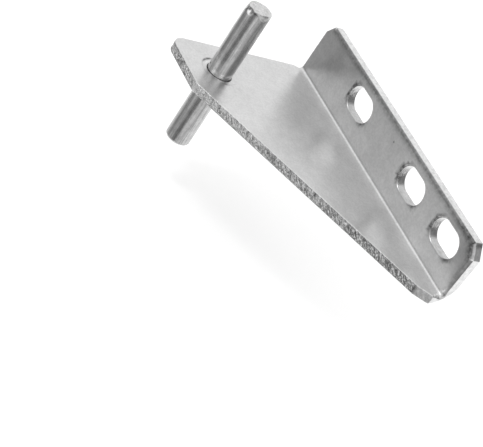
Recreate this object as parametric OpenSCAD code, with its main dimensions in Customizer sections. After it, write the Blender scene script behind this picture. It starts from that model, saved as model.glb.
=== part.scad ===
// Corner hinge for an upright door: one folded sheet with a slotted fixing flange, and one pin.
// Millimetres. The origin is on the pin's axis at the plate's upper face. +X runs along the fold
// towards the narrow tip, +Y towards the cabinet, and +Z up along the pin.

/* [Sheet] */
// Thickness of the sheet
sheet_t = 3; // [2:0.1:4.5]
// Inside radius of the fold
fold_r = 1.3; // [0.8:0.1:3]
// How far the outside of the fold draws in at each of its ends
fold_draw = 1.4; // [0.5:0.1:2.5]
// Radius of the edges that the punch rolled over, on the flange's inner face and at the tip
roll_r = 0.5; // [0.2:0.1:0.8]

/* [Plate] */
// From the pin's axis to the wide end
pin_to_end = 13.7; // [11.5:0.1:28]
// From the pin's axis to the nose edge
pin_to_nose = 12.3; // [9.4:0.1:24]
// From the pin's axis to the fixing face, which is the flange's outer face
pin_to_face = 41.2; // [30:0.1:66]
// From the pin's axis to the tip, along the fold
pin_to_tip = 87.9; // [85.5:0.1:122]
// Length of the nose edge, up to the heel where the long slanting edge starts
nose_l = 22.7; // [13:0.1:38]
// Radius of the nose's outer corner
nose_r = 5.1; // [1.5:0.1:6.5]
// Radius of the heel's corner
heel_r = 2.8; // [1.5:0.1:7.5]
// Width of the plate's end at the tip, measured from the fixing face
tip_w = 6.2; // [5.7:0.1:7.5]
// Length of the tip's slanting corner along the fold
tip_cut_l = 3.6; // [2:0.1:7.5]
// Width of the tip's slanting corner across the fold
tip_cut_w = 4.1; // [2:0.1:7.5]

/* [Flange] */
// Height of the flange above the plate's upper face
flange_h = 18.8; // [17:0.1:32]
// How far the flange starts in from the plate's wide end
flange_step = 0.8; // [0.3:0.1:3]
// Width of the sloping step in the wide end, just before the fold
step_run = 1.6; // [1:0.1:4]
// Length of the flange's two cut corners along its top edge
flange_cut_l = 3.2; // [1:0.1:4.7]
// Height of the flange's two cut corners
flange_cut_h = 4.1; // [1:0.1:5.6]

/* [Slots] */
// Length of each slot, end to end
slot_l = 13; // [10.5:0.1:18.8]
// Width of each slot
slot_w = 8.4; // [5:0.1:9.4]
// Height of the slots' middle above the plate's underside
slot_h = 14.2; // [12.2:0.1:15.9]
// From the pin's axis to the middle of the first slot, along the fold
slot_1 = 17.8; // [8.5:0.1:28]
// From the pin's axis to the middle of the second slot
slot_2 = 53.7; // [46:0.1:55.3]
// From the pin's axis to the middle of the third slot
slot_3 = 75.2; // [74:0.1:76.8]

/* [Pin] */
// Diameter of the pin's two ends
pin_d = 8; // [5:0.1:9]
// Length of the pin above the plate's upper face
pin_up = 23.9; // [12:0.1:47]
// Length of the pin below the plate's underside
pin_down = 23.9; // [12:0.1:47]
// Chamfer on the pin's two ends
pin_chamfer = 0.8; // [0.3:0.1:2]
// How much thicker the band is that is pressed into the plate, on the diameter
band_extra = 0.6; // [0.2:0.1:1.5]
// Diameter of the shallow ring that the staking punch left round the pin
stake_d = 12; // [11.2:0.1:15]
// Depth of that ring
stake_depth = 0.5; // [0.1:0.1:1]

/* [Hidden] */
// Overlap of a cut with the space outside the sheet
over = 1;
// How far from the fold's inner face the axis of the drawn-in ends lies
draw_reach = 5.6;
// A hair by which a round cut crosses the face that it would otherwise only touch
hair = 0.01;
$fn = 96;

end_x = -pin_to_end;
flange_x = end_x + flange_step;
tip_x = pin_to_tip;
inner_y = pin_to_face - sheet_t;
fold_y = inner_y - fold_r;
slot_z = slot_h - sheet_t;
band_d = pin_d + band_extra;

// The plate's edge from the fold at the wide end, round the nose, to the fold at the tip
plate_edge = [
    [flange_x, fold_y],
    [end_x, fold_y - step_run],
    [end_x, -pin_to_nose],
    [end_x + nose_l, -pin_to_nose],
    [tip_x - tip_cut_l, pin_to_face - tip_w - tip_cut_w],
    [tip_x, pin_to_face - tip_w],
    [tip_x, fold_y]
];
plate_radii = [0, 0, nose_r, heel_r, 0, 0, 0];

// The flange's edge from the fold at the tip, along the top, to the fold at the wide end
flange_edge = [
    [tip_x, fold_r],
    [tip_x, flange_h - flange_cut_h],
    [tip_x - flange_cut_l, flange_h],
    [flange_x + flange_cut_l, flange_h],
    [flange_x, flange_h - flange_cut_h],
    [flange_x, fold_r]
];

function unit(v) = v / norm(v);
function last(list) = len(list) - 1;

// Half of the angle that the edge turns through at point i
function half_turn(p, i) =
    let (a = unit(p[i] - p[i - 1]), b = unit(p[i + 1] - p[i]))
    acos(min(1, a * b)) / 2;

// From corner i to where its rounding starts
function setback(p, r, i) = (r[i] - hair) * tan(half_turn(p, i));

// Where the straight edge before corner i ends, and where the one after it starts
function run_end(p, r, i) = p[i] - unit(p[i] - p[i - 1]) * setback(p, r, i);
function run_start(p, r, i) = p[i] + unit(p[i + 1] - p[i]) * setback(p, r, i);

// Centre of the rounding at corner i, for an edge with the sheet on its left
function corner_centre(p, r, i) =
    let (d = unit(p[i] - p[i - 1]))
    run_end(p, r, i) + (r[i] - hair) * [-d[1], d[0]];

function heading(v) = atan2(v[1], v[0]);

// What a rolled edge leaves out: the edge is at the origin, the sheet lies towards +X, its face at 0
module roll_profile() {
    difference() {
        translate([-over, -roll_r - hair]) square([roll_r + over, roll_r + hair + over]);
        translate([roll_r, -roll_r - hair]) circle(roll_r + hair);
    }
}

// The cut that rolls over one straight edge
module roll_run(from, to) {
    translate([from[0], from[1], 0])
        rotate([0, 0, heading(to - from) + 90])
            rotate([90, 0, 0])
                linear_extrude(norm(to - from))
                    roll_profile();
}

// The cuts along a whole edge, with the sheet's face at z = 0
module rolled_edge(p) {
    for (i = [1 : last(p)])
        roll_run(p[i - 1], p[i]);
}

// What rounding corner i takes from an outline
module corner_cut(p, r, i) {
    centre = corner_centre(p, r, i);
    before = run_end(p, r, i) - centre;
    after = run_start(p, r, i) - centre;
    difference() {
        polygon([centre, centre + 1.2 * before, centre + 1.3 * (p[i] - centre), centre + 1.2 * after]);
        translate(centre) circle(r[i]);
    }
}

// An outline with true round corners
module rounded_outline(p, r) {
    difference() {
        polygon(p);
        for (i = [1 : last(p) - 1])
            if (r[i] > 0)
                corner_cut(p, r, i);
    }
}

// The folded sheet's section across the fold, as [y, z]
module section() {
    outer_r = fold_r + sheet_t;
    translate([-pin_to_nose - over, -sheet_t])
        square([fold_y + pin_to_nose + over, sheet_t]);
    translate([fold_y, fold_r])
        intersection() {
            difference() {
                circle(outer_r);
                circle(fold_r);
            }
            translate([0, -outer_r]) square(outer_r);
        }
    translate([inner_y, fold_r])
        square([sheet_t, flange_h - fold_r]);
}

// The space above and below the plate that its outline keeps, with the fold and flange beyond it
module plan() {
    rounded_outline(
        concat(plate_edge, [[tip_x, pin_to_face + over], [flange_x, pin_to_face + over]]),
        concat(plate_radii, [0, 0])
    );
}

// The space in front of and behind the flange that its outline keeps, with the plate below it
module front() {
    polygon(concat(
        flange_edge,
        [[flange_x, 0], [end_x, 0], [end_x, -sheet_t - over], [tip_x, -sheet_t - over]]
    ));
}

// One slot through the flange, with its inner rim rolled over
module slot(x) {
    run = slot_l - slot_w;
    translate([x, inner_y, slot_z])
        rotate([90, 0, 0]) {
            translate([0, 0, -sheet_t - over])
                linear_extrude(sheet_t + 2 * over) {
                    square([run, slot_w], center = true);
                    for (side = [-1, 1])
                        translate([side * run / 2, 0]) circle(d = slot_w);
                }
            for (side = [-1, 1]) {
                roll_run([side * run / 2, -side * slot_w / 2], [-side * run / 2, -side * slot_w / 2]);
                translate([side * run / 2, 0, 0])
                    rotate([0, 0, -side * 90])
                        rotate_extrude(angle = 180)
                            translate([slot_w / 2, 0])
                                roll_profile();
            }
        }
}

// What the fold's outside loses at its end, where the stretched sheet draws in
module drawn_end() {
    near = draw_reach + sheet_t + hair;
    far = sqrt(2) * (draw_reach - fold_r) + fold_r + sheet_t + hair;
    translate([0, inner_y - draw_reach, draw_reach])
        difference() {
            translate([-fold_draw, 0, -far - over])
                cube([fold_draw + over, far + over, far + over]);
            rotate([0, -90, 0])
                cylinder(h = fold_draw, r1 = near, r2 = far);
            rotate([0, 90, 0])
                cylinder(h = 2 * over, r = near);
        }
}

module bracket() {
    color("gainsboro")
        difference() {
            intersection() {
                translate([end_x, 0, 0])
                    rotate([90, 0, 90])
                        linear_extrude(pin_to_end + pin_to_tip)
                            section();
                translate([0, 0, -sheet_t - over])
                    linear_extrude(sheet_t + flange_h + 2 * over)
                        plan();
                translate([0, pin_to_face + over, 0])
                    rotate([90, 0, 0])
                        linear_extrude(pin_to_face + pin_to_nose + 2 * over)
                            front();
            }
            roll_run([tip_x, pin_to_face - tip_w - over], [tip_x, fold_y]);
            translate([0, inner_y, 0])
                rotate([90, 0, 0])
                    rolled_edge(flange_edge);
            for (x = [slot_1, slot_2, slot_3])
                slot(x);
            translate([tip_x, 0, 0]) drawn_end();
            translate([flange_x, 0, 0]) mirror([1, 0, 0]) drawn_end();
            translate([0, 0, -sheet_t - over]) cylinder(h = sheet_t + 2 * over, d = band_d);
            translate([0, 0, -stake_depth]) cylinder(h = stake_depth + over, d = stake_d);
        }
}

module pin() {
    low = -sheet_t - pin_down;
    end_r = pin_d / 2 - pin_chamfer;
    color("darkgray")
        rotate_extrude()
            polygon([
                [0, low],
                [end_r, low],
                [pin_d / 2, low + pin_chamfer],
                [pin_d / 2, -sheet_t],
                [band_d / 2, -sheet_t],
                [band_d / 2, -stake_depth],
                [pin_d / 2, -stake_depth],
                [pin_d / 2, pin_up - pin_chamfer],
                [end_r, pin_up],
                [0, pin_up]
            ]);
}

bracket();
pin();
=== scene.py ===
import bpy
import numpy as np
from mathutils import Matrix, Vector
from mathutils.geometry import delaunay_2d_cdt


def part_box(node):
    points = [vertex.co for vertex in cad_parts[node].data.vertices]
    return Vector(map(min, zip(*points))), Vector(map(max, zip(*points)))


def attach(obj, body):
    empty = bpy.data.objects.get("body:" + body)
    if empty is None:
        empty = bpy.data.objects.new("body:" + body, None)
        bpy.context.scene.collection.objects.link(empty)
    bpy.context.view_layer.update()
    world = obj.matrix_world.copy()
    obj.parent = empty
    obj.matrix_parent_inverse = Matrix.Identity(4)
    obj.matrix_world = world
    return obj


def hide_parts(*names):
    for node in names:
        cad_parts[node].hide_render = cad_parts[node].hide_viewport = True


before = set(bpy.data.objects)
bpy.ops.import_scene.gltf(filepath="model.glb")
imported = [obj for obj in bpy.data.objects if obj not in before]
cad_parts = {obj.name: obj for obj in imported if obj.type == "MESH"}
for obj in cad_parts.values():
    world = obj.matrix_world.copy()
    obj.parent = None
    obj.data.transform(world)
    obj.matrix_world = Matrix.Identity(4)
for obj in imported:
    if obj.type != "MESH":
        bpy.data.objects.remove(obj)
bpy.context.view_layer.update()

# Shapes are worked out in millimetres, in the frame's axes, and put into meshes in metres.
MM = 0.001

bracket_low, bracket_high = (np.array(corner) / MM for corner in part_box("bracket"))
pin_low, pin_high = (np.array(corner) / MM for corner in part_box("pin"))

# The folded sheet: along X from the wide end to the tip, and along Y from the nose to the fixing face
END_X, NOSE_Y, UNDERSIDE_Z = bracket_low
TIP_X, FACE_Y, TOP_Z = bracket_high
SHEET = -UNDERSIDE_Z

# The fold: its inside radius, the y where it starts, its length at half the sheet's thickness, and how much
# tighter its inside is in the middle
FOLD_R = 1.3
FOLD_Y = FACE_Y - SHEET - FOLD_R
FOLD_RUN = np.pi / 2 * (FOLD_R + SHEET / 2)
FOLD_TIGHT = 0.2

# The fold's outside draws in at both ends: by how much, over what length, and how far the axis of the drawn
# cone lies from the fold's inner faces
FOLD_DRAW = 1.4
DRAW_LENGTH = 3.0
DRAW_REACH = 5.6

# The outline: the nose, the heel where the slanting edge starts, the plate's width at the tip, the cut
# corners, each with its length along the fold and its width across it, and the radii of small corners
NOSE_L = 22.7
NOSE_R = 5.0
HEEL_R = 2.8
TIP_WIDTH = 6.2
TIP_CUT = (3.6, 4.1)
FLANGE_CUT = (3.2, 4.1)
WIDE_CUT = (2.6, 3.9)
WIDE_CUT_R = (0.15, 0.3)
SMALL_R = 0.42

# How far the flange starts in from the wide end, and the width of the slope that leads there
FLANGE_STEP = 0.8
STEP_RUN = 1.6

# The slots: their length and width, the height of their middles, and their places along the fold
SLOT_SIZE = (12.94, 8.44)
SLOT_Z = 10.99
SLOTS_X = (17.67, 53.58, 75.14)

# The ring that the staking punch left round the pin: the radius of its wall's middle, half the wall's
# width, its depth, and the radius where its floor starts to run down to the pin
STAKE_R = 6.0
STAKE_SLOPE = 0.4
STAKE_DEPTH = 0.34
STAKE_FLOOR_R = 5.3

# The pin, with the thicker band of it that is pressed into the plate
PIN_R = 4.0
BAND_R = pin_high[0]
PIN_CHAMFER = 0.8

# The radius of the wall's lower edge, how far a face's rim keeps from the shoulder, and how far its grid
# keeps from the rim
LOWER_R = 0.08
RIM_MARGIN = 0.12
GRID_MARGIN = 0.35

# Steps of the meshes: along edges, along torn edges and over the faces in millimetres, and their numbers
# across the fold, round the ring and round the pin
EDGE_STEP = 0.3
TORN_STEP = 0.15
FACE_STEP = 1.3
FOLD_STEPS = 16
RING_STEPS = 120
PIN_STEPS = 192

# Rows down a wall: on its shoulder, on the wall below that, and on its lower edge
SHOULDER_ROWS = 8
WALL_ROWS = 21
LOWER_ROWS = 5

# How far the sides of an outline are moved in to find the way into the sheet at each of its points
INSET = 1.9

# Nearness at which the triangulation joins points, the area under which a triangle is only a sliver on a
# line, and the decimals to which points agree that are welded
JOIN_NEAR = 1e-7
SLIVER_AREA = 1e-5
WELD_DECIMALS = 4

# What each side of an edge gives: the width and depth of the shoulder that the punch rolled over, how
# straight that shoulder is, the depth of its torn wall, how light its wall is painted, partly the worn
# metal's own tone and partly painted highlight, and how much painted shade its shoulder gets
FINISHES = ("shoulder", "depth", "cone", "tear", "painted_light", "painted_shade")
TORN = (0.28, 0.15, 1.0, 0.21, 0.3, 0.0)
SCUFFED = (0.28, 0.15, 1.0, 0.05, 0.45, 0.0)
TIP_END = (1.0, 0.4, 1.7, 0.02, 1.0, 0.5)
CUT_END = (1.5, 0.5, 1.8, 0.012, 0.8, 0.9)
TOP_EDGE = (0.95, 0.38, 1.7, 0.014, 0.66, 0.58)
WIDE_CORNER = (0.4, 0.2, 1.0, 0.012, 0.2, 0.1)
WIDE_END = (0.55, 0.28, 1.0, 0.03, 0.5, 0.0)
SLOT_WALL = (0.45, 0.5, 1.0, 0.01, 0.2, 0.0)
TORN_DEPTH = TORN[FINISHES.index("tear")]

# What the fold's end at the tip gives instead: a wider shoulder, a painted highlight and no painted shade
FOLD_END = {"shoulder": 2.4, "depth": 0.95, "cone": 1.0, "painted_light": 1.0, "painted_shade": 0.0}

# The torn walls: how far their pattern leans along the edge on the way down, the cells of its ribs,
# grains and crumbs along the edge and down it, what each adds to the tear and takes from its paleness,
# and the shares of the sheet's thickness between which the tear comes in and goes out
LEAN = 0.7
RIB_CELL = (0.3, 0.9)
GRAIN_CELL = (0.2, 0.3)
CRUMB_CELL = (0.22, 0.2)
PATTERN_DEPTHS = (0.6, 0.5, 0.3)
PATTERN_SHADES = (0.3, 0.3, 0.35)
TEAR_IN = (0.02, 0.1)
TEAR_OUT = (0.88, 0.95)

# Marks round a centre are rows of an azimuth and a half width, both in degrees, and an amount. Each slot,
# by the angle from the middle of its nearer end: the painted shade on its rim, where that shade spills over
# the flange, the painted light on its wall, a highlight in one place and shade in the other, and the torn
# parts of its wall
SLOT_PAINTED_SHADE = ((150, 44, 1.0), (205, 28, 1.0), (-46, 30, 0.9))
SLOT_SHADE_SPILLS = ((152, 42, 0.05), (-46, 32, 0.42))
SLOT_PAINTED_LIGHT = ((140, 26, 0.8), (195, 17, -0.75))
SLOT_TEARS = ((188, 22, 0.12),)

# The staked ring: the painted shade of its wall's two dark arcs, and the painted highlights on its floor
RING_PAINTED_SHADE = ((-152, 24, 1.8), (-11, 22, 1.8))
RING_PAINTED_HIGHLIGHTS = ((-150, 40, 0.8), (-8, 22, 1.0))

# The pin's upper end: how far its bevel cuts in and drops all round, and more in places, and the dent
# below it
BEVEL_CUT = 0.22
BEVEL_CUTS = ((-136, 38, 0.2), (16, 36, 0.3))
BEVEL_DROP = 0.3
BEVEL_DROPS = ((-140, 38, 3.1), (2, 30, 1.25))
DENT = ((-76, 14, 0.65),)

# The lip of metal at the pin's foot, which also gets a painted glint, the painted glints on the dent and
# along
# the bevel, and the painted shade: two along the bevel's foot, one on the bevel and one on the side above
# the plate
LIP_WITH_PAINTED_GLINT = ((-21, 11, 1.0),)
DENT_PAINTED_HIGHLIGHT = ((-77, 14, 1.0),)
BEVEL_PAINTED_HIGHLIGHT = ((8, 26, 0.8),)
FRONT_PAINTED_SHADE = ((-47, 19, 1.0),)
LEFT_PAINTED_SHADE = ((-98, 16, 0.8),)
BEVEL_PAINTED_SHADE = ((-4, 28, 0.25),)
FOOT_PAINTED_SHADE = ((-82, 16, 0.55),)

# The camera, in metres: where it stood, the way it looked, what was up, and its lens
CAMERA_AT = Vector((0.327981, -0.275107, 0.208957))
CAMERA_ALONG = Vector((-0.62052, 0.60288, -0.50149))
CAMERA_UP = Vector((-0.69486, -0.12628, 0.70797))
CAMERA_LENS = 118.92

# The lamp, in metres and watts: above the hinge and to the left of the camera
LAMP_AT = Vector((-0.029, -0.334, 0.479))
LAMP_SIZE = 0.11
LAMP_POWER = 0.48

# The floor, in metres: half its side, how far it lies under the pin, and how much it scatters and gives off
FLOOR_HALF = 3.0
FLOOR_DROP = 0.015
FLOOR_GREY = 0.75
FLOOR_GLOW = 0.36

# Soft grey panels of the studio that the metal mirrors: azimuth and elevation of the middle, half the
# width and half the height, all in degrees, and how much each takes from the white
PANELS = (
    (-85, -30, 38, 26, 0.50),
    (-57, -3, 19, 46, 0.60),
    (-141, -7, 29, 25, 0.70),
    (54, 31, 30, 24, 0.74),
    (-5, -32, 30, 26, 0.28),
)

# The shares of its half width and half height between which a panel fades
PANEL_FADE = (0.75, 1.4)

# Dull patches and marks of the inner faces: place and radius in millimetres, and how much each takes
BLOTCHES = (
    (-1.4, 38.2, 11.6, 6.1, 0.10),
    (38.12, 38.2, 14.0, 0.47, 0.55),
    (7.7, 4.3, 0.0, 1.5, 0.07),
    (9.1, 1.5, 0.0, 0.95, 0.06),
)


def smooth_step(low, high, x):
    """0 below low, 1 above high, and t t (3 - 2 t) between them."""
    t = np.clip((x - low) / (high - low), 0, 1)
    return t * t * (3 - 2 * t)


def near(x, middle, half_width):
    """A bump of height 1: exp(-((x - middle) / half_width)^2)."""
    return np.exp(-(((x - middle) / half_width) ** 2))


def marks(a, rows):
    """The sum of bumps round the azimuth a, which is in radians, one for each row of azimuth, half width
    and amount."""
    degrees = np.degrees(a)
    return sum(amount * near((degrees - middle + 180) % 360 - 180, 0, wide) for middle, wide, amount in rows)


def random_heights(u, v, cell, u_length, seed):
    """Smooth random heights from -1 to 1 that repeat along u after u_length: each point blends the values
    at the four corners of its cell, with weights t t (3 - 2 t) across the cell."""
    u_cells = max(2, round(u_length / cell[0]))
    v_cells = int(np.ceil((np.max(v) - np.min(v)) / cell[1])) + 2
    corners = np.random.default_rng(seed).uniform(-1, 1, (u_cells, v_cells))
    a = np.mod(u / u_length, 1) * u_cells
    b = (v - np.min(v)) / cell[1]
    i, j = np.floor(a).astype(int), np.floor(b).astype(int)
    s, t = smooth_step(0, 1, a - i), smooth_step(0, 1, b - j)
    i, after = i % u_cells, (i + 1) % u_cells
    low = corners[i, j] * (1 - s) + corners[after, j] * s
    high = corners[i, j + 1] * (1 - s) + corners[after, j + 1] * s
    return low * (1 - t) + high * t


def unit(v):
    """Each row of v divided by its length."""
    return v / np.linalg.norm(v, axis=-1, keepdims=True)


def left_of(v):
    """Each row of v turned a quarter turn anticlockwise."""
    return np.stack([-v[..., 1], v[..., 0]], axis=-1)


def moved_sides(corners, distance):
    """The corners after every side has moved to its left by distance: each new corner is where its two
    moved sides cross, which is p + d (n + m) / (1 + n.m) for the left normals n and m of those sides."""
    n = left_of(unit(corners - np.roll(corners, 1, axis=0)))
    m = left_of(unit(np.roll(corners, -1, axis=0) - corners))
    return corners + distance * (n + m) / (1 + np.sum(n * m, axis=1, keepdims=True))


def rounded_loop(corners, radii, distance, arc_counts, side_counts):
    """A closed outline with round corners, its sides moved to their left by distance. An arc starts
    r tan(turn / 2) before its corner and turns about the centre that lies r to the turn's side. A corner
    that turns left loses the distance from its radius, and one that turns right gains it."""
    least_r = 0.04
    corners = moved_sides(corners, distance)
    into = unit(corners - np.roll(corners, 1, axis=0))
    out = np.roll(into, -1, axis=0)
    turns = np.arctan2(into[:, 0] * out[:, 1] - into[:, 1] * out[:, 0], np.sum(into * out, axis=1))
    radii = np.maximum(radii - distance * np.sign(turns), least_r)
    starts, arcs = [], []
    for corner, heading, turn, radius, count in zip(corners, into, turns, radii, arc_counts):
        start = corner - heading * radius * np.tan(abs(turn) / 2)
        centre = start + left_of(heading) * radius * np.sign(turn)
        angle = np.linspace(0, turn, count)[:, None]
        arm = start - centre
        arcs.append(centre + arm * np.cos(angle) + left_of(arm) * np.sin(angle))
        starts.append(start)
    points = []
    for i, (arc, count) in enumerate(zip(arcs, side_counts)):
        t = np.linspace(0, 1, count + 1)[1:-1, None]
        points += [arc, arc[-1] * (1 - t) + starts[(i + 1) % len(starts)] * t]
    return np.concatenate(points)


def side_places(arc_counts, side_counts):
    """For each point of a rounded loop, the number of the side it is on, running from one side's number to
    the next round each corner."""
    places = []
    for i, (arc, side) in enumerate(zip(arc_counts, side_counts)):
        places += [np.linspace(i - 1, i, arc), np.full(side - 1, float(i))]
    return np.concatenate(places)


class Loop:
    """A closed edge of the flat blank, with the sheet on its left: the points of the edge, the way into
    the sheet at each, the length along it, and the finish that each side gives. Beside the finish it
    holds how far the painted shade spills over the inner face, how much paler the torn wall is, and how much
    lower it reaches, as a share of the thickness. Torn sides have closer points."""

    def __init__(self, corners, radii, finish):
        corners, radii = np.array(corners, float), np.array(radii, float)
        sides = np.roll(corners, -1, axis=0) - corners
        into = np.roll(unit(sides), 1, axis=0)
        turns = np.arccos(np.clip(np.sum(into * unit(sides), axis=1), -1, 1))
        torn = np.array([row[FINISHES.index("tear")] for row in finish]) > TORN_DEPTH / 2
        steps = np.where(torn, TORN_STEP, EDGE_STEP)
        arc_counts = np.maximum(6, np.ceil(radii * turns / steps)).astype(int)
        side_counts = np.maximum(2, np.ceil(np.linalg.norm(sides, axis=1) / steps)).astype(int)
        self.points = rounded_loop(corners, radii, 0, arc_counts, side_counts)
        self.inwards = (rounded_loop(corners, radii, INSET, arc_counts, side_counts) - self.points) / INSET
        gaps = np.linalg.norm(np.roll(self.points, -1, axis=0) - self.points, axis=1)
        self.length = np.sum(gaps)
        self.along = np.concatenate([[0], np.cumsum(gaps)[:-1]])
        places = side_places(arc_counts, side_counts)
        numbers = np.arange(-1, len(finish) + 1)
        self.finish = {}
        for name, values in zip(FINISHES, np.array(finish).T):
            values = np.concatenate([values[-1:], values, values[:1]])
            self.finish[name] = np.interp(places, numbers, values)
        self.shade_spill = np.zeros(len(self.points))
        self.tone = np.zeros(len(self.points))
        self.foot = np.zeros(len(self.points))


def plate_place(y):
    """Where the plate's y lies across the flat blank, from the start of the fold."""
    return y - FOLD_Y


def flange_place(z):
    """Where the flange's z lies across the flat blank."""
    return FOLD_RUN + z - FOLD_R


def blank_edge():
    """The blank's outer edge, anticlockwise from the nose's outer corner: along the nose, the slanting
    edge, the tip, the flange's top and the wide end."""
    flange_x = END_X + FLANGE_STEP
    nose, top = plate_place(NOSE_Y), flange_place(TOP_Z)
    tip = plate_place(FACE_Y - TIP_WIDTH)
    rows = [
        ((END_X, nose), NOSE_R, TORN),
        ((END_X + NOSE_L, nose), HEEL_R, TORN),
        ((TIP_X - TIP_CUT[0], tip - TIP_CUT[1]), SMALL_R, SCUFFED),
        ((TIP_X, tip), SMALL_R, TIP_END),
        ((TIP_X, top - FLANGE_CUT[1]), SMALL_R, CUT_END),
        ((TIP_X - FLANGE_CUT[0], top), SMALL_R, TOP_EDGE),
        ((flange_x + WIDE_CUT[0], top), WIDE_CUT_R[0], WIDE_CORNER),
        ((flange_x, top - WIDE_CUT[1]), WIDE_CUT_R[1], WIDE_END),
        ((flange_x, 0), SMALL_R, WIDE_END),
        ((END_X, -STEP_RUN), SMALL_R, WIDE_END),
    ]
    edge = Loop(*zip(*rows))
    shape_and_shade_flange_end(edge, top)
    shape_and_shade_torn_wall(edge, nose)
    return edge


def shape_and_shade_flange_end(edge, top):
    """Changes near the tip that don't follow whole sides: the wide bevel at the fold's end with a painted
    highlight on it, the painted shade, which grows along the top edge towards its cut corner and is gone
    near the fold, and a spot of painted shade in that corner."""
    bevel_half, shade_run, shade_more = 2.3, 7, 0.5
    shade_low, shade_high = 4.5, 9
    spot_in, spot_half = 2.7, 0.5
    x, v = edge.points.T
    finish = edge.finish
    fold_end = np.exp(-(((v - FOLD_RUN / 2) / bevel_half) ** 4)) * (x > TIP_X - 1)
    for name, value in FOLD_END.items():
        finish[name] += fold_end * (value - finish[name])
    top_end = near(x, TIP_X - FLANGE_CUT[0], shade_run) * (v > top - 0.1)
    finish["painted_shade"] = np.clip(finish["painted_shade"] + shade_more * top_end, 0, 1)
    finish["painted_shade"] *= smooth_step(shade_low, shade_high, v)
    finish["painted_light"] -= near(x, TIP_X - spot_in, spot_half) * (v > top - 1.6)
    edge.shade_spill = finish["painted_shade"]


def shape_and_shade_torn_wall(edge, nose):
    """Changes along the torn wall: its tear starts round the nose's corner, the heel is less torn and gets a
    painted highlight and a paler tone, the wall is palest a third of the way along, and towards the tip it
    is darker and reaches lower."""
    corner_high, corner_fade = 4.5, 2.5
    corner_tear, heel_half, heel_mended, heel_painted_light, heel_tone = 0.2, 2.2, 0.25, 0.7, 0.3
    x, v = edge.points.T
    finish = edge.finish
    corner = smooth_step(0, corner_fade, nose + corner_high - v) * (x < END_X + NOSE_R + 1)
    finish["tear"] = np.maximum(finish["tear"], corner_tear * corner)
    heel = near(x, END_X + NOSE_L, heel_half) * (v < nose + 3)
    finish["tear"] *= 1 - heel_mended * heel
    finish["painted_light"] += heel_painted_light * heel
    edge.tone = 0.04 + 0.14 * near(x, 18, 16) - 0.15 * smooth_step(45, 80, x) + heel_tone * heel
    edge.foot = 0.075 * smooth_step(25, 60, x)


def slot_edge(x):
    """One slot's edge, clockwise so that the sheet is on its left: two flats between two round ends, with
    its painted shade, painted light and torn parts by the angle from the nearer end's middle."""
    half_l, half_w = SLOT_SIZE[0] / 2, SLOT_SIZE[1] / 2
    v = flange_place(SLOT_Z)
    corners = [(x + i * half_l, v + j * half_w) for i, j in ((-1, -1), (-1, 1), (1, 1), (1, -1))]
    edge = Loop(corners, [half_w - 0.02] * 4, [SLOT_WALL] * 4)
    along, up = (edge.points - (x, v)).T
    reach = half_l - half_w
    a = np.arctan2(up, along - np.clip(along, -reach, reach))
    edge.finish["painted_shade"] = np.clip(marks(a, SLOT_PAINTED_SHADE), 0, 1)
    edge.finish["painted_light"] += marks(a, SLOT_PAINTED_LIGHT)
    edge.finish["tear"] += marks(a, SLOT_TEARS)
    edge.shade_spill = marks(a, SLOT_SHADE_SPILLS)
    return edge


def folded(x, v, w):
    """Carries points of the flat blank into the folded sheet. x runs along the fold, v across it and w up
    from the inner face. Before the fold y = FOLD_Y + v and z = w. In it the angle is a = v / FOLD_RUN of
    a quarter turn and the radius FOLD_R - w. After it y = FOLD_Y + FOLD_R - w, and z goes on along v.
    Sine and cosine are raised to a power that falls from 1 at the outer face to 1 - FOLD_TIGHT at the
    inner, which makes the inner fold tighter in its middle. The fold's outside draws in at both ends by a
    share of FOLD_DRAW."""
    a = np.clip(v / FOLD_RUN, 0, 1) * np.pi / 2
    radius = FOLD_R - w
    power = 1 - FOLD_TIGHT * np.clip(1 + w / SHEET, 0, 1)
    y = FOLD_Y + np.minimum(v, 0) + radius * np.maximum(np.sin(a), 0) ** power
    z = FOLD_R - radius * np.maximum(np.cos(a), 0) ** power + np.maximum(v - FOLD_RUN, 0)
    beyond = np.maximum(y - (FOLD_Y + FOLD_R - DRAW_REACH), 0)
    below = np.maximum(DRAW_REACH - z, 0)
    near_r = DRAW_REACH + SHEET
    far_r = np.sqrt(2) * (DRAW_REACH - FOLD_R) + FOLD_R + SHEET
    draw = FOLD_DRAW * smooth_step(-0.1, 1, (np.hypot(beyond, below) - near_r) / (far_r - near_r))
    middle = (END_X + TIP_X) / 2
    gap = (TIP_X - END_X) / 2 - np.abs(x - middle)
    x = x - np.sign(x - middle) * draw * near(gap, 0, DRAW_LENGTH)
    return np.stack([x, y, z], axis=-1)


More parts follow.
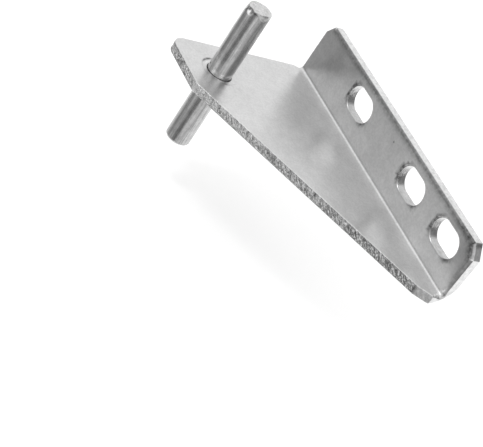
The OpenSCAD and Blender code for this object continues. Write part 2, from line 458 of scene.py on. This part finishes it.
def wall_rows(loop, seed):
    """The sheet's wall along an edge, as a grid of points of the blank by rows from the upper face to the
    lower: e into the sheet and w up. The shoulder is e = width (1 - sin^n q), w = -depth (1 - cos^n q): a
    quarter of an ellipse for n = 1 and a straight bevel for n = 2. Below it the wall stands back by its
    tear: ribs that run down it, leaning, with grains and crumbs on them. The lower edge is a quarter
    circle. With them come how far each point is wall, how far torn, and how pale the torn wall is."""
    s = loop.along[:, None]
    level = 0 * loop.along
    fine = random_heights(loop.along, level, (0.45, 1), loop.length, seed)
    coarse = random_heights(loop.along, level, (1.3, 1), loop.length, seed + 1)
    share = np.clip(loop.finish["tear"] / TORN_DEPTH, 0, 1)
    shoulder = (loop.finish["shoulder"] * (1 + share * (0.5 * fine + 0.4 * coarse)))[:, None]
    depth = (loop.finish["depth"] * (1 + share * (0.5 * fine + 0.3 * coarse)))[:, None]
    tear, cone = loop.finish["tear"][:, None], loop.finish["cone"][:, None]

    q = np.linspace(0, np.pi / 2, SHOULDER_ROWS)[None, :]
    down = np.linspace(0, 1, WALL_ROWS + 2)[None, 1:-1]
    turn = np.linspace(0, np.pi / 2, LOWER_ROWS)[None, :]
    into_face = shoulder * (1 - np.sin(q) ** cone)
    into_wall = -depth * (1 - np.maximum(np.cos(q), 0) ** cone)
    wall_w = -depth + down * (LOWER_R - SHEET + depth)
    lower_e = LOWER_R * (1 - np.cos(turn)) + 0 * s
    lower_w = LOWER_R - SHEET - LOWER_R * np.sin(turn) + 0 * s
    e = np.concatenate([shoulder + RIM_MARGIN, into_face, 0 * wall_w, lower_e], axis=1)
    w = np.concatenate([0 * s, into_wall, wall_w, lower_w], axis=1)

    leaning = s + LEAN * w
    pattern = (
        random_heights(leaning, w, RIB_CELL, loop.length, seed + 2),
        random_heights(leaning, w, GRAIN_CELL, loop.length, seed + 3),
        random_heights(s + 0 * w, w, CRUMB_CELL, loop.length, seed + 4),
    )
    low = -w / SHEET
    torn = smooth_step(*TEAR_IN, low) * (1 - smooth_step(*TEAR_OUT, low - loop.foot[:, None]))
    rough = 0.75 + sum(amount * heights for amount, heights in zip(PATTERN_DEPTHS, pattern))
    e = e + np.maximum(tear * torn * rough, 0)
    wall = smooth_step(0.75, 1.0, -w / depth)
    # The ribs' pattern also darkens the torn wall: partly painted shade of the ribs' relief, partly the torn
    # metal's own darker oxide
    shade = sum(amount * heights for amount, heights in zip(PATTERN_SHADES, pattern))
    pale = 0.5 + loop.tone[:, None] - shade
    return e, w, wall, torn * share[:, None], np.clip(pale, 0, 1)


def quads_between(columns, rows):
    """Faces of a grid of columns by rows points that closes round its columns, seen from outside where the
    columns run anticlockwise and the rows downwards."""
    here = np.arange(columns)[:, None] * rows + np.arange(rows - 1)[None, :]
    there = np.roll(np.arange(columns), -1)[:, None] * rows + np.arange(rows - 1)[None, :]
    return np.stack([here, here + 1, there + 1, there], axis=-1).reshape(-1, 4)


def inside(points, loop):
    """Which points lie inside a closed outline: a ray along +x from them crosses it an odd number of
    times."""
    a, b = loop, np.roll(loop, -1, axis=0)
    y = points[:, 1][:, None]
    crosses = (a[:, 1] > y) != (b[:, 1] > y)
    rise = np.where(b[:, 1] == a[:, 1], 1e-12, b[:, 1] - a[:, 1])
    at = a[:, 0] + (y - a[:, 1]) / rise * (b[:, 0] - a[:, 0])
    return np.sum(crosses & (at > points[:, 0][:, None]), axis=1) % 2 == 1


def gaps_to(points, rim):
    """The distance from each point to each point of a rim."""
    return np.hypot(*(points[:, None, :] - rim[None, :, :]).transpose(2, 0, 1))


def face_grid(outer, holes):
    """Points of an even grid over the blank, with closer rows across the fold, that lie inside its outer
    rim and clear of its holes and of all rims."""
    x = np.arange(END_X, TIP_X, FACE_STEP) + FACE_STEP / 2
    before = np.arange(-FACE_STEP / 2, plate_place(NOSE_Y), -FACE_STEP)
    across = np.linspace(0, FOLD_RUN, FOLD_STEPS + 1)
    beyond = np.arange(FOLD_RUN + FACE_STEP / 2, flange_place(TOP_Z), FACE_STEP)
    grid = np.stack(np.meshgrid(x, np.concatenate([before, across, beyond])), axis=-1).reshape(-1, 2)
    keep = inside(grid, outer)
    for hole in holes:
        keep &= ~inside(grid, hole)
    for rim in (outer, *holes):
        keep &= np.min(gaps_to(grid, rim[::2]), axis=1) > GRID_MARGIN
    return grid[keep]


def triangle_areas(corners):
    """Half of the cross product of two sides of each triangle."""
    first, second = corners[:, 1] - corners[:, 0], corners[:, 2] - corners[:, 0]
    return np.abs(first[:, 0] * second[:, 1] - first[:, 1] * second[:, 0]) / 2


def filled_face(outer, holes):
    """Triangles that fill the blank between its outer rim and its holes' rims, over the points of a grid.
    The sheet is on the left of every rim, so a triangle that takes a rim's edge forwards lies in the
    sheet, and one that takes it backwards lies outside. Any other triangle between rims belongs where its
    middle lies, and is left out if it is a sliver."""
    loops = [outer, *holes]
    points = np.concatenate([*loops, face_grid(outer, holes)])
    after, first = [], 0
    for loop in loops:
        after.append(np.roll(np.arange(len(loop)), -1) + first)
        first += len(loop)
    after = np.concatenate(after)
    edges = np.stack([np.arange(first), after], axis=1).tolist()
    made = delaunay_2d_cdt([Vector(p) for p in points], edges, [], 0, JOIN_NEAR)
    added = np.array([tuple(p) for p in made[0]])[len(points):]
    points = np.concatenate([points, added])
    triangles = np.array(made[2])
    on_rims = np.all(triangles < first, axis=1)
    corners = triangles[on_rims]
    following = np.roll(corners, -1, axis=1)
    middle = points[corners].mean(axis=1)
    in_sheet = inside(middle, outer) & (triangle_areas(points[corners]) > SLIVER_AREA)
    for hole in holes:
        in_sheet &= ~inside(middle, hole)
    in_sheet |= np.any(after[corners] == following, axis=1)
    in_sheet &= ~np.any(after[following] == corners, axis=1)
    keep = np.ones(len(triangles), bool)
    keep[on_rims] = in_sheet
    return points, triangles[keep]


class Surface:
    """Patches of one mesh: points in millimetres, faces, and how far each point is wall and torn, how much
    painted light and painted shade it has, and how pale the torn sheet is there."""

    MASKS = ("wall", "torn", "painted_light", "painted_shade", "pale")

    def __init__(self):
        self.points, self.faces, self.masks, self.count = [], [], [], 0

    def add(self, points, faces, wall=0.0, torn=0.0, painted_light=0.0, painted_shade=0.0, pale=0.0):
        points = points.reshape(-1, 3)
        self.points.append(points)
        self.faces.append(faces + self.count)
        given = (wall, torn, painted_light, painted_shade, pale)
        self.masks.append(np.stack([np.broadcast_to(np.ravel(mask), len(points)) for mask in given]))
        self.count += len(points)

    def object(self, name):
        """A smooth mesh object in metres: points that meet are welded, and the masks are attributes."""
        points, masks = np.concatenate(self.points), np.concatenate(self.masks, axis=1)
        rounded = np.round(points, WELD_DECIMALS)
        _, first, number = np.unique(rounded, axis=0, return_index=True, return_inverse=True)
        number = number.ravel()
        faces = [tuple(dict.fromkeys(f)) for patch in self.faces for f in number[patch].tolist()]
        faces = [f for f in faces if len(f) > 2]
        mesh = bpy.data.meshes.new(name)
        mesh.from_pydata((points[first] * MM).tolist(), [], faces)
        for mask_name, mask in zip(self.MASKS, masks[:, first]):
            attribute = mesh.attributes.new(mask_name, "FLOAT", "POINT")
            attribute.data.foreach_set("value", mask.astype(np.float32))
        mesh.shade_smooth()
        made = bpy.data.objects.new(name, mesh)
        bpy.context.scene.collection.objects.link(made)
        return made


def stake_profile():
    """Radius and w of rows from the plate's upper face down the staked ring to the pin, and on down the
    pin's hole to the underside. The ring's wall falls along w = -depth t t (3 - 2 t), and its floor runs
    down to the pin along a shallow quarter of an ellipse."""
    wall_t = np.linspace(0, 1, 9)
    floor_q = np.linspace(0, np.pi / 2, 9)[1:]
    rows = [(STAKE_R + r, 0.0) for r in (0.8, 0.6, 0.5)]
    rows += [(STAKE_R + STAKE_SLOPE * (1 - 2 * t), -STAKE_DEPTH * smooth_step(0, 1, t)) for t in wall_t]
    rows += [(STAKE_FLOOR_R - np.sin(q), -STAKE_DEPTH - 0.06 * (1 - np.cos(q))) for q in floor_q]
    rows += [(PIN_R + 0.2, -STAKE_DEPTH - 0.12), (PIN_R + 0.06, -STAKE_DEPTH - 0.26), (PIN_R + 0.03, -0.95)]
    rows += [(BAND_R, -1.0), (BAND_R, -2.0), (BAND_R, 0.12 - SHEET), (BAND_R + 0.12, -SHEET)]
    return np.array(rows)


def add_stake(surface):
    """Adds the staked ring and the pin's hole: the profile turned clockwise round the pin, so that the
    sheet is on its left. Returns its upper and lower rims."""
    radius, w = (column[None, :] for column in stake_profile().T)
    a = -np.linspace(0, 2 * np.pi, RING_STEPS, endpoint=False)[:, None]
    x, v = radius * np.cos(a), plate_place(radius * np.sin(a))
    # Painted shade on the ring wall's two dark arcs and round the pin's foot, and painted highlights on the
    # ring's floor
    line = marks(a, RING_PAINTED_SHADE) * near(radius, STAKE_R, 0.25)
    painted_shade = np.clip(line + (radius < PIN_R + 0.35), 0, 1.15) * (w > -1)
    painted_light = marks(a, RING_PAINTED_HIGHLIGHTS) * near(radius, 5.1, 0.6) * (w > -1)
    surface.add(folded(x, v, w + 0 * x), quads_between(*x.shape), painted_light, 0.0, painted_light, painted_shade)
    rims = np.stack([x, v], axis=-1)
    return rims[:, 0], rims[:, -1]


def edge_painted_shade(points, rims, painted_shades):
    """How much painted shade each point of the inner face has: the painted shade s of the nearest rim point,
    times exp(-(d / (0.4 + s))^2) for the distance d to it."""
    gaps = gaps_to(points, rims)
    painted_shade = painted_shades[np.argmin(gaps, axis=1)]
    return painted_shade * near(np.min(gaps, axis=1), 0, 0.4 + painted_shade)


def make_bracket():
    """The folded sheet as one closed surface: walls along the outer edge, the slots and the pin's hole,
    and the two faces between their rims. The lower part of a straight shoulder is kept free of painted
    shade."""
    surface = Surface()
    upper, lower, painted_shades = [], [], []
    for number, loop in enumerate([blank_edge(), *[slot_edge(x) for x in SLOTS_X]]):
        e, w, wall, torn, pale = wall_rows(loop, 10 * number + 1)
        flat = loop.points[:, None, :] + loop.inwards[:, None, :] * e[..., None]
        names = ("depth", "cone", "painted_light", "painted_shade")
        depth, cone, painted_light, painted_shade = (loop.finish[name][:, None] for name in names)
        # The lower part of a straight shoulder gets no painted shade, so that its glint shows
        shade_lifted = smooth_step(1.7, 1.8, cone) * smooth_step(0.3, 0.6, -w / depth)
        points = folded(flat[..., 0], flat[..., 1], w)
        painted_shade = painted_shade * (1 - wall) * (1 - shade_lifted) * (w > -1)
        surface.add(points, quads_between(*e.shape), wall, torn, painted_light * wall, painted_shade, pale)
        upper.append(flat[:, 0])
        lower.append(flat[:, -1])
        painted_shades.append(loop.shade_spill)
    ring_upper, ring_lower = add_stake(surface)
    upper.append(ring_upper)
    lower.append(ring_lower)
    painted_shades.append(np.zeros(RING_STEPS))
    rims, rim_painted_shades = np.concatenate(upper), np.concatenate(painted_shades)
    points, triangles = filled_face(upper[0], upper[1:])
    inner = folded(points[:, 0], points[:, 1], 0 * points[:, 0])
    surface.add(inner, triangles, painted_shade=edge_painted_shade(points, rims, rim_painted_shades))
    points, triangles = filled_face(lower[0], lower[1:])
    surface.add(folded(points[:, 0], points[:, 1], 0 * points[:, 0] - SHEET), triangles[:, ::-1])
    return surface.object("hinge_bracket")


def pin_upper_end(a):
    """Radius and z of the pin's rows from the middle of its upper end to below the dent, and its bevel's
    drop. The bevel is out of true: it drops by h(a) and cuts in by b(a), along
    r = R - d - (b - d) (1 - cos^n q) and z = top - h (1 - sin^n q), where d is a dent below it that
    catches the light."""
    power, least_width, dent_low, dent_high, below = 1.7, 0.05, 2.4, 0.6, 4.3
    top = pin_high[2]
    wobble = 0.04 * np.sin(7 * a + 2.0) + 0.03 * np.sin(13 * a)
    b = BEVEL_CUT + marks(a, BEVEL_CUTS) + wobble
    h = BEVEL_DROP + marks(a, BEVEL_DROPS) + wobble
    t = np.linspace(0, 1, 26)[::-1][None, :]
    side_z = top - below * (1 - t) - h * t
    dent = marks(a, DENT) * smooth_step(top - dent_low, top - dent_high, side_z)
    side_r = PIN_R - dent
    q = np.linspace(0, np.pi / 2, 14)[::-1][None, :]
    width = np.maximum(b - dent[:, :1], least_width)
    bevel_r = side_r[:, :1] - width * (1 - np.maximum(np.cos(q), 0) ** power)
    bevel_z = top - h * (1 - np.sin(q) ** power)
    flat_r = bevel_r[:, :1] * np.linspace(0, 1, 14)[None, :-1]
    r = np.concatenate([flat_r, bevel_r, side_r[:, 1:]], axis=1)
    z = np.concatenate([top + 0 * flat_r, bevel_z, side_z[:, 1:]], axis=1)
    return r, z, h


def pin_side():
    """Radius and z of the pin's other rows, from the top down: the side, closer rows at the foot, the band
    in the plate, the lower side and the lower end, whose rim is r = inner + width sin^n q and
    z = low + height (1 - cos q)."""
    low, top = pin_low[2], pin_high[2]
    end_r, rim_more, rim_higher, power = PIN_R - PIN_CHAMFER, 0.2, 0.15, 0.9
    side = np.linspace(top - 4.6, 2.2, 16)
    foot = np.linspace(1.8, -0.8, 18)
    band = np.array([-1.0, -2.0, -SHEET])
    below = np.linspace(-SHEET, low + 1.5, 24)
    q = np.linspace(0, np.pi / 2, 12)[::-1]
    rim_r = end_r - rim_more + (PIN_CHAMFER + rim_more) * np.sin(q) ** power
    rim_z = low + (PIN_CHAMFER + rim_higher) * (1 - np.cos(q))
    end = np.linspace(0, end_r - rim_more - 0.05, 8)[::-1]
    r = [PIN_R + 0 * side, PIN_R + 0 * foot, BAND_R + 0 * band, PIN_R + 0 * below, rim_r, end]
    z = [side, foot, band, below, rim_z, low + 0 * end]
    return np.concatenate(r)[None, :], np.concatenate(z)[None, :]


def pin_marks(a, z, h):
    """How far each point of the pin is its turned side, its painted highlight and its painted shade. Heights
    above the bevel's foot place the marks at the upper end."""
    low, top = pin_low[2], pin_high[2]
    above = z - top + h
    end = np.clip(smooth_step(-0.06, 0.06, above) + (z < low + 0.5), 0, 1)
    painted_light = marks(a, DENT_PAINTED_HIGHLIGHT) * smooth_step(-4.8, -0.8, z - top) * (above < 0)
    painted_light += marks(a, BEVEL_PAINTED_HIGHLIGHT) * near(above, -0.1, 0.14) * (z > 0)
    painted_shade = marks(a, FRONT_PAINTED_SHADE) * near(above, -0.02, 0.32)
    painted_shade += marks(a, LEFT_PAINTED_SHADE) * near(above, -0.12, 0.16)
    painted_shade += marks(a, BEVEL_PAINTED_SHADE) * smooth_step(0, 0.1, above)
    painted_shade += marks(a, FOOT_PAINTED_SHADE) * (1 - smooth_step(1, 7, z))
    painted_shade = np.clip(painted_shade, 0, 1) * (z > -0.5) * (z < top - 0.001)
    return 1 - end, painted_light, painted_shade


def make_pin():
    """The pin: its rows turned round Z, x = r cos a and y = r sin a, with a lip at its foot."""
    lip_height, lip_half, lip_out = 0.75, 0.45, 0.1
    a = np.linspace(0, 2 * np.pi, PIN_STEPS, endpoint=False)[:, None]
    end_r, end_z, h = pin_upper_end(a)
    side_r, side_z = pin_side()
    r = np.concatenate([end_r, side_r + 0 * a], axis=1)
    z = np.concatenate([end_z, side_z + 0 * a], axis=1)
    lip = marks(a, LIP_WITH_PAINTED_GLINT) * near(z, lip_height, lip_half)
    r = r + lip_out * lip
    points = np.stack([r * np.cos(a), r * np.sin(a), z], axis=-1)
    wall, painted_light, painted_shade = pin_marks(a, z, h)
    surface = Surface()
    # The lip's mark also paints a glint on the pin, added to its painted highlights
    surface.add(points, quads_between(*z.shape), wall, 0.0, np.clip(painted_light + lip, 0, 1), painted_shade)
    return surface.object("hinge_pin")


class Nodes:
    """Short calls that add nodes to a tree and join their sockets."""

    def __init__(self, tree):
        self.tree = tree

    def add(self, kind, settings=(), **inputs):
        node = self.tree.nodes.new(kind)
        for name, value in dict(settings).items():
            setattr(node, name, value)
        for name, value in inputs.items():
            self.put(node.inputs[name.replace("_", " ")], value)
        return node

    def put(self, socket, value):
        if isinstance(value, bpy.types.NodeSocket):
            self.tree.links.new(value, socket)
        else:
            socket.default_value = value

    def filled(self, kind, settings, *values):
        """A new node with its sockets given in their order."""
        node = self.add(kind, settings)
        for socket, value in zip(node.inputs, values):
            self.put(socket, value)
        return node

    def math(self, operation, *values):
        return self.filled("ShaderNodeMath", {"operation": operation}, *values).outputs[0]

    def product(self, first, *others):
        for value in others:
            first = self.math("MULTIPLY", first, value)
        return first

    def noise(self, vector, size, detail=3.0, roughness=0.55):
        """Noise with features of about size metres."""
        node = self.add("ShaderNodeTexNoise", Vector=vector, Scale=1 / size, Detail=detail)
        self.put(node.inputs["Roughness"], roughness)
        return node.outputs["Fac"]

    def range(self, value, span, new_span):
        """The value over the span carried smoothly over the new span."""
        node = self.add("ShaderNodeMapRange", {"interpolation_type": "SMOOTHSTEP"}, Value=value)
        for name, number in zip(("From Min", "From Max", "To Min", "To Max"), (*span, *new_span)):
            self.put(node.inputs[name], number)
        return node.outputs["Result"]

    def stretched(self, vector, x, y, z):
        """The coordinates with each axis multiplied."""
        return self.add("ShaderNodeMapping", Vector=vector, Scale=(x, y, z)).outputs["Vector"]

    def distance(self, vector, place):
        node = self.filled("ShaderNodeVectorMath", {"operation": "DISTANCE"}, vector, place)
        return node.outputs["Value"]

    def dot(self, vector, direction):
        node = self.filled("ShaderNodeVectorMath", {"operation": "DOT_PRODUCT"}, vector, direction)
        return node.outputs["Value"]

    def blend(self, share, a, b):
        """a where share is 0 and b where it is 1."""
        return self.math("ADD", a, self.math("MULTIPLY", share, self.math("SUBTRACT", b, a)))

    def less(self, level, share):
        """The level less a share of itself."""
        return self.math("MULTIPLY", level, self.math("SUBTRACT", 1.0, share))

    def attribute(self, name):
        return self.add("ShaderNodeAttribute", {"attribute_name": name}).outputs["Fac"]

    def shared(self, tree, **inputs):
        return self.add("ShaderNodeGroup", {"node_tree": tree}, **inputs).outputs[0]


def grey(level):
    """A grey of that level."""
    return (level, level, level, 1.0)


def speckle_group():
    """A shared effect: a factor that varies about 1 by the amount, over features of the size, in metres."""
    tree = bpy.data.node_groups.new("speckle", "ShaderNodeTree")
    tree.interface.new_socket("Place", in_out="INPUT", socket_type="NodeSocketVector")
    tree.interface.new_socket("Size", in_out="INPUT", socket_type="NodeSocketFloat")
    tree.interface.new_socket("Amount", in_out="INPUT", socket_type="NodeSocketFloat")
    tree.interface.new_socket("Factor", in_out="OUTPUT", socket_type="NodeSocketFloat")
    nodes = Nodes(tree)
    given = nodes.add("NodeGroupInput").outputs
    scale = nodes.math("DIVIDE", 1.0, given["Size"])
    noise = nodes.add("ShaderNodeTexNoise", Vector=given["Place"], Scale=scale, Detail=3.0, Roughness=0.6)
    varied = nodes.range(noise.outputs["Fac"], (0.3, 0.7), (-1.0, 1.0))
    spread = nodes.math("MULTIPLY", varied, given["Amount"])
    nodes.add("NodeGroupOutput", Factor=nodes.math("ADD", spread, 1.0))
    return tree


def new_material(name):
    """A material with one metal shader, the nodes to build on, and its Object coordinates."""
    material = bpy.data.materials.new(name)
    material.use_nodes = True
    nodes = Nodes(material.node_tree)
    material.node_tree.nodes.clear()
    shader = nodes.add("ShaderNodeBsdfPrincipled", Metallic=1.0)
    nodes.add("ShaderNodeOutputMaterial", Surface=shader.outputs["BSDF"])
    return material, nodes, shader, nodes.add("ShaderNodeTexCoord").outputs["Object"]


def finish_shader(nodes, shader, level, rough, height):
    """Gives a shader its level of grey, its roughness and a bump from a height in millimetres."""
    bump = nodes.add("ShaderNodeBump", Height=height, Strength=1.0, Distance=MM)
    nodes.put(shader.inputs["Base Color"], level)
    nodes.put(shader.inputs["Roughness"], rough)
    nodes.put(shader.inputs["Normal"], bump.outputs["Normal"])


def dulled(nodes, place, level):
    """The level less what each of the BLOTCHES takes from it, within a radius made uneven by noise."""
    uneven = nodes.math("SUBTRACT", nodes.noise(place, size=0.004, roughness=0.6), 0.5)
    for x, y, z, radius, take in BLOTCHES:
        reach = radius * MM
        gap = nodes.distance(place, (x * MM, y * MM, z * MM))
        gap = nodes.math("ADD", gap, nodes.math("MULTIPLY", uneven, reach))
        level = nodes.math("MULTIPLY", level, nodes.range(gap, (0.25 * reach, reach), (1 - take, 1.0)))
    return level


def zinc_material(speckle):
    """Bright zinc on rolled sheet: cloudy and finely grained, mottled on the torn walls, with painted
    highlights on its walls, and painted shade where the punch rolled its edge over."""
    face_level, dull_wall, bright_wall = 0.675, 0.44, 0.92
    material, nodes, shader, place = new_material("zinc_sheet")
    torn, painted_light, wall, painted_shade, pale = map(nodes.attribute, ("torn", "painted_light", "wall", "painted_shade", "pale"))
    face = nodes.product(
        face_level,
        nodes.shared(speckle, Place=place, Size=0.014, Amount=0.05),
        nodes.shared(speckle, Place=place, Size=0.0025, Amount=0.035),
        nodes.shared(speckle, Place=place, Size=0.0007, Amount=0.06),
    )
    face = dulled(nodes, place, face)
    wall_speckle = nodes.shared(speckle, Place=place, Size=0.0012, Amount=0.14)
    # The walls' painted light lifts them from dull_wall towards bright_wall
    walls = nodes.math("MULTIPLY", nodes.blend(painted_light, dull_wall, bright_wall), wall_speckle)
    mottle = nodes.noise(nodes.stretched(place, 1.0, 1.0, 0.6), size=0.0007, roughness=0.7)
    mottle = nodes.range(mottle, (0.36, 0.64), (0.7, 1.15))
    ragged = nodes.math("MULTIPLY", nodes.range(pale, (0.05, 0.95), (0.24, 1.0)), mottle)
    # Painted shade, made uneven by noise
    shade_noise = nodes.noise(place, size=0.0011, roughness=0.65)
    dark = nodes.math("MULTIPLY", painted_shade, nodes.range(shade_noise, (0.3, 0.68), (0.35, 0.85)))
    level = nodes.less(nodes.blend(torn, nodes.blend(wall, face, walls), ragged), dark)
    clouds = nodes.noise(place, size=0.016, detail=4.0, roughness=0.6)
    clouds = nodes.range(clouds, (0.3, 0.7), (0.28, 0.35))
    rough = nodes.math("ADD", clouds, nodes.math("MULTIPLY", torn, 0.08))
    waves = nodes.math("MULTIPLY", nodes.noise(place, size=0.009, detail=2.0), 0.06)
    grain = nodes.math("MULTIPLY", nodes.noise(place, size=0.0005, detail=2.0), 0.002)
    pits = nodes.product(nodes.noise(place, size=0.0004, detail=2.0, roughness=0.6), torn, 0.12)
    height = nodes.math("ADD", nodes.math("ADD", waves, grain), pits)
    finish_shader(nodes, shader, level, rough, height)
    return material


def pin_material(speckle):
    """Drawn and turned steel: darker, with fine marks along its length, a grained end, painted highlights
    and painted shade.
    """
    side_level, end_level, painted_highlight_level, shade_take = 0.60, 0.62, 0.98, 0.7
    material, nodes, shader, place = new_material("pin_steel")
    wall, painted_light, painted_shade = map(nodes.attribute, ("wall", "painted_light", "painted_shade"))
    along = nodes.stretched(place, 1.0, 1.0, 0.08)
    side = nodes.product(
        side_level,
        nodes.shared(speckle, Place=along, Size=0.0007, Amount=0.20),
        nodes.shared(speckle, Place=place, Size=0.0016, Amount=0.08),
    )
    end = nodes.product(
        end_level,
        nodes.shared(speckle, Place=place, Size=0.0014, Amount=0.10),
        nodes.shared(speckle, Place=place, Size=0.0006, Amount=0.10),
    )
    level = nodes.blend(painted_light, nodes.blend(wall, end, side), painted_highlight_level)
    level = nodes.less(level, nodes.math("MULTIPLY", painted_shade, shade_take))
    rough = nodes.range(nodes.noise(place, size=0.004), (0.3, 0.7), (0.20, 0.27))
    height = nodes.math("MULTIPLY", nodes.noise(along, size=0.0008), 0.02)
    finish_shader(nodes, shader, level, rough, height)
    return material


def make_camera():
    """The photograph's camera: its columns are right, up and back."""
    along, up = CAMERA_ALONG.normalized(), CAMERA_UP.normalized()
    right = along.cross(up).normalized()
    turned = Matrix((right, right.cross(along), -along)).transposed()
    camera = bpy.data.objects.new("camera", bpy.data.cameras.new("camera"))
    camera.data.lens = CAMERA_LENS
    camera.data.sensor_width = 36.0
    camera.data.clip_start = 0.01
    camera.data.clip_end = 20.0
    camera.matrix_world = Matrix.Translation(CAMERA_AT) @ turned.to_4x4()
    bpy.context.scene.collection.objects.link(camera)
    bpy.context.scene.camera = camera


def make_world():
    """White all round, and with the soft panels in reflections only. With t and u the sines of the angles
    across and up from a panel's middle, a direction's distance from it is the root of
    (t / half width)^2 + (u / half height)^2, and the panel fades over PANEL_FADE of that."""
    world = bpy.data.worlds.new("studio")
    bpy.context.scene.world = world
    world.use_nodes = True
    nodes = Nodes(world.node_tree)
    world.node_tree.nodes.clear()
    way = nodes.add("ShaderNodeTexCoord").outputs["Generated"]
    level = 1.0
    for azimuth, elevation, half_width, half_height, take in PANELS:
        a, e = np.radians(azimuth), np.radians(elevation)
        middle = (np.cos(a) * np.cos(e), np.sin(a) * np.cos(e), np.sin(e))
        across = (-np.sin(a), np.cos(a), 0.0)
        up = (-np.cos(a) * np.sin(e), -np.sin(a) * np.sin(e), np.cos(e))
        t = nodes.math("DIVIDE", nodes.dot(way, across), np.sin(np.radians(half_width)))
        u = nodes.math("DIVIDE", nodes.dot(way, up), np.sin(np.radians(half_height)))
        squares = [nodes.math("MULTIPLY", side, side) for side in (t, u)]
        away = nodes.math("SQRT", nodes.math("ADD", *squares))
        faces = nodes.math("GREATER_THAN", nodes.dot(way, middle), 0.0)
        share = nodes.math("MULTIPLY", nodes.range(away, PANEL_FADE, (1.0, 0.0)), faces)
        level = nodes.less(level, nodes.math("MULTIPLY", share, take))
    mirrored = nodes.add("ShaderNodeBackground", Color=grey(1.0), Strength=level)
    plain = nodes.add("ShaderNodeBackground", Color=grey(1.0), Strength=1.0)
    glossy = nodes.add("ShaderNodeLightPath").outputs["Is Glossy Ray"]
    chosen = nodes.filled("ShaderNodeMixShader", (), glossy, plain.outputs[0], mirrored.outputs[0])
    nodes.add("ShaderNodeOutputWorld", Surface=chosen.outputs[0])


def make_floor():
    """A pale plain floor under the hinge, white where no shadow lies. It is clear to reflections, which
    see the studio, and from below."""
    z = pin_low[2] * MM - FLOOR_DROP
    corners = [(x * FLOOR_HALF, y * FLOOR_HALF, z) for x, y in ((-1, -1), (1, -1), (1, 1), (-1, 1))]
    mesh = bpy.data.meshes.new("floor")
    mesh.from_pydata(corners, [], [(0, 1, 2, 3)])
    floor = bpy.data.objects.new("floor", mesh)
    bpy.context.scene.collection.objects.link(floor)
    material = bpy.data.materials.new("floor")
    material.use_nodes = True
    nodes = Nodes(material.node_tree)
    material.node_tree.nodes.clear()
    diffuse = nodes.add("ShaderNodeBsdfDiffuse", Color=grey(FLOOR_GREY))
    glow = nodes.add("ShaderNodeEmission", Color=grey(1.0), Strength=FLOOR_GLOW)
    both = nodes.filled("ShaderNodeAddShader", (), diffuse.outputs[0], glow.outputs[0])
    clear = nodes.add("ShaderNodeBsdfTransparent")
    glossy = nodes.add("ShaderNodeLightPath").outputs["Is Glossy Ray"]
    behind = nodes.add("ShaderNodeNewGeometry").outputs["Backfacing"]
    unseen = nodes.math("MAXIMUM", glossy, behind)
    chosen = nodes.filled("ShaderNodeMixShader", (), unseen, both.outputs[0], clear.outputs[0])
    nodes.add("ShaderNodeOutputMaterial", Surface=chosen.outputs[0])
    mesh.materials.append(material)


def make_lamp():
    """One small soft lamp, turned to the origin, which gives the worn corners their glints."""
    lamp = bpy.data.lights.new("key", "AREA")
    lamp.shape = "SQUARE"
    lamp.size = LAMP_SIZE
    lamp.energy = LAMP_POWER
    key = bpy.data.objects.new("key", lamp)
    key.matrix_world = Matrix.Translation(LAMP_AT) @ LAMP_AT.to_track_quat("Z", "Y").to_matrix().to_4x4()
    bpy.context.scene.collection.objects.link(key)


make_camera()
bracket = make_bracket()
pin = make_pin()
speckle = speckle_group()
for piece, node, slot, material in (
    (bracket, "bracket", "zinc_sheet", zinc_material(speckle)),
    (pin, "pin", "pin_steel", pin_material(speckle)),
):
    piece.data.materials.append(material)
    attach(piece, "root")
    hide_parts(node)
make_world()
make_floor()
make_lamp()

bpy.context.scene.view_settings.view_transform = "Standard"
